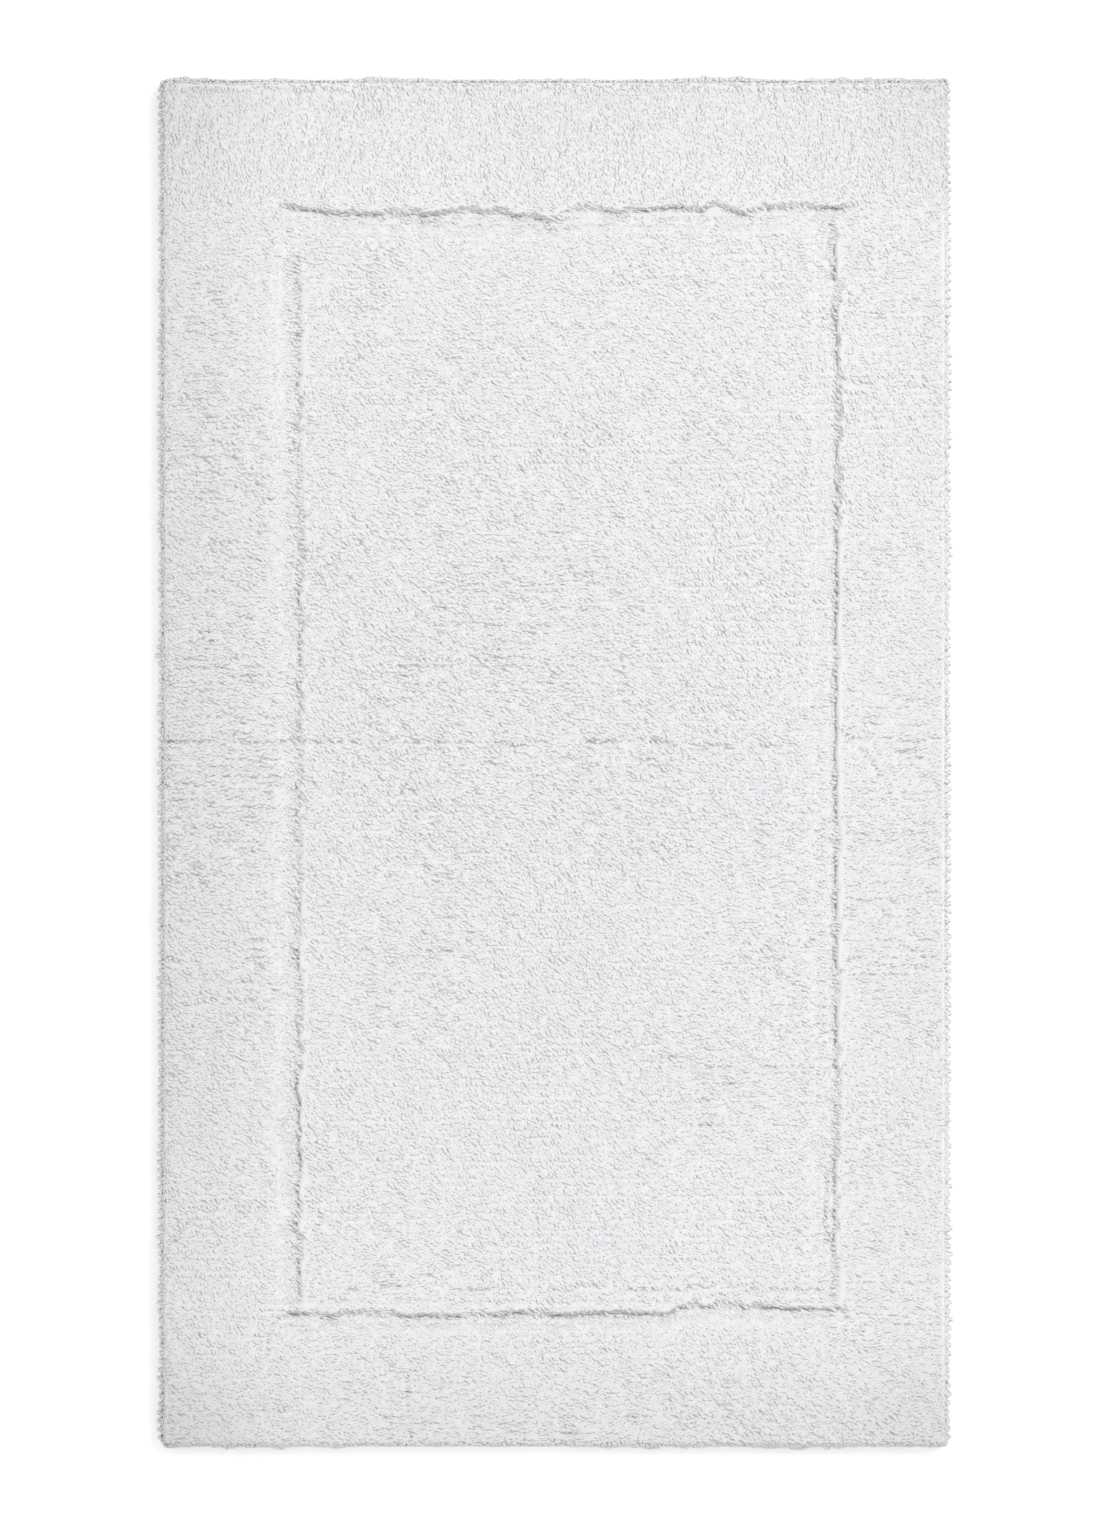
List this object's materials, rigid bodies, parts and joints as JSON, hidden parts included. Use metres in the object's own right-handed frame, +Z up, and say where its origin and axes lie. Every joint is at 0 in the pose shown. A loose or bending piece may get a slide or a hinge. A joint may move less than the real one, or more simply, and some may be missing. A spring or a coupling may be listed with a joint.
{
  "type": "bath mat",
  "caption": "Rectangular cut-pile bath mat with a sunken channel that frames a centre panel, on a backing cloth with a latex coat and taped hems.",
  "frame": {"origin": "centre of the underside, on the floor", "axes": "+X across the width to the right, +Y along the length to the back edge, +Z up out of the pile"},
  "size_m": [0.692, 1.2, 0.024],
  "materials": {
    "pile": "white cut cotton pile, matte",
    "backing_cloth": "natural plain-weave cotton",
    "latex": "off-white foamed latex, matte",
    "hem_tape": "white woven cotton tape",
    "hem_thread": "white spun sewing thread",
    "label": "blank white satin label"
  },
  "bodies": {
    "root": {"backing_cloth": "backing_cloth", "latex_backing": "latex", "centre_pile": "pile", "channel_pile": "pile", "border_pile": "pile", "hem_tape_right": "hem_tape", "hem_tape_back": "hem_tape", "hem_tape_left": "hem_tape", "hem_tape_front": "hem_tape", "hem_thread_right": "hem_thread", "hem_thread_back": "hem_thread", "hem_thread_left": "hem_thread", "hem_thread_front": "hem_thread", "care_label": "label"}
  },
  "joints": []
}
